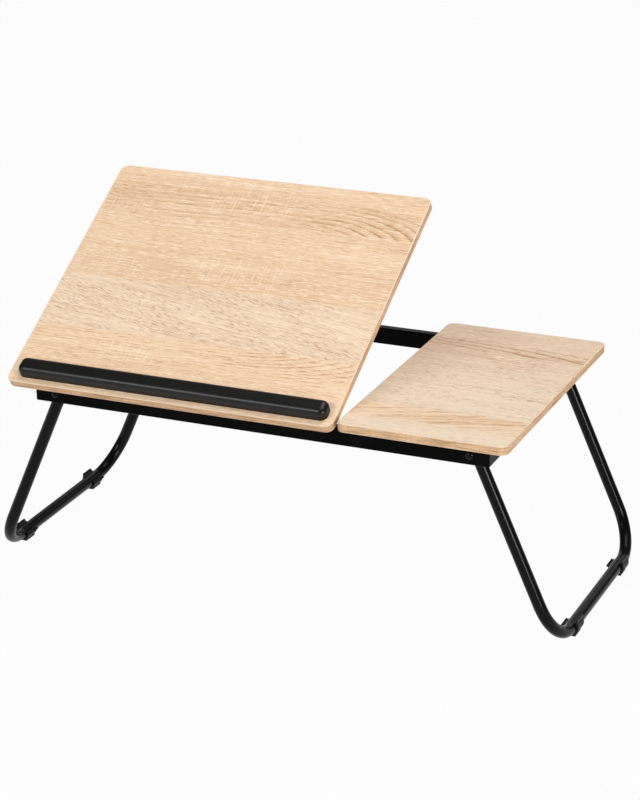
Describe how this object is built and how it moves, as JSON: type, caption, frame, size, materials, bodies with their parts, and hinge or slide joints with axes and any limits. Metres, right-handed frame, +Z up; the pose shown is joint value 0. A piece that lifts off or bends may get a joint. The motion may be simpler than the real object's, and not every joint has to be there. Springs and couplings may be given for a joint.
{
  "type": "folding laptop table",
  "caption": "Low folding laptop table with a tilting wooden top with a stop bar, a fixed side board and folding black tube legs.",
  "frame": {"origin": "middle of the space the table takes up, on the floor plane under the feet", "axes": "+X along the table towards the fixed side board, +Y from the front edge to the back, +Z up"},
  "size_m": [0.6072, 0.3024, 0.3537],
  "materials": {
    "oak_laminate": "satin printed oak laminate, grain along the table",
    "oak_edge_band": "satin oak edge band",
    "black_stop": "satin black",
    "black_plastic": "moulded black, fine grain",
    "nylon": "plain nylon",
    "black_frame_coat": "satin black powder coat",
    "black_tube_coat": "semi-gloss black powder coat",
    "zinc_steel": "zinc plated"
  },
  "bodies": {
    "frame": {"side_board": "oak_laminate", "side_board_edge_band": "oak_edge_band", "side_board_screws": "black_frame_coat", "front_rail": "black_frame_coat", "back_rail": "black_frame_coat", "left_end_rail": "black_frame_coat", "right_end_rail": "black_frame_coat", "left_hinge_frame_leaf": "zinc_steel", "left_hinge_pin": "zinc_steel", "left_hinge_rivets": "zinc_steel", "right_hinge_frame_leaf": "zinc_steel", "right_hinge_pin": "zinc_steel", "right_hinge_rivets": "zinc_steel", "prop_guide": "black_frame_coat", "left_leg_rivets": "black_tube_coat", "left_leg_washers": "nylon", "right_leg_rivets": "black_tube_coat", "right_leg_washers": "nylon"},
    "tilting_top": {"main_board": "oak_laminate", "main_board_edge_band": "oak_edge_band", "laptop_stop": "black_stop", "laptop_stop_screws": "zinc_steel", "left_hinge_board_leaf": "zinc_steel", "left_hinge_screws": "zinc_steel", "right_hinge_board_leaf": "zinc_steel", "right_hinge_screws": "zinc_steel", "left_prop_bearing": "black_plastic", "right_prop_bearing": "black_plastic", "prop_bearing_screws": "zinc_steel"},
    "prop": {"prop_bail": "black_tube_coat"},
    "left_leg": {"left_leg_tube": "black_tube_coat", "left_leg_plugs": "black_plastic", "left_front_foot": "black_plastic", "left_back_foot": "black_plastic"},
    "right_leg": {"right_leg_tube": "black_tube_coat", "right_leg_plugs": "black_plastic", "right_front_foot": "black_plastic", "right_back_foot": "black_plastic"}
  },
  "joints": [
    {"name": "board_tilt", "type": "hinge", "parent": "frame", "child": "tilting_top", "pos_m": [0, -0.14197, 0.2036], "axis": [1, 0, 0], "range_deg": [-29.3, 0]},
    {"name": "prop_swing", "type": "hinge", "parent": "tilting_top", "child": "prop", "pos_m": [-0.1109, -0.03593, 0.25639], "axis": [1, 0, 0], "range_deg": [0, 58.6]},
    {"name": "left_leg_fold", "type": "hinge", "parent": "frame", "child": "left_leg", "pos_m": [-0.21388, 0.00123, 0.19375], "axis": [0, -1, 0], "range_deg": [0, 112]},
    {"name": "right_leg_fold", "type": "hinge", "parent": "frame", "child": "right_leg", "pos_m": [0.21388, 0.00123, 0.19375], "axis": [0, 1, 0], "range_deg": [0, 112]}
  ],
  "couplings": [
    {"joint": "prop_swing", "follows": "board_tilt", "ratio": -2}
  ]
}
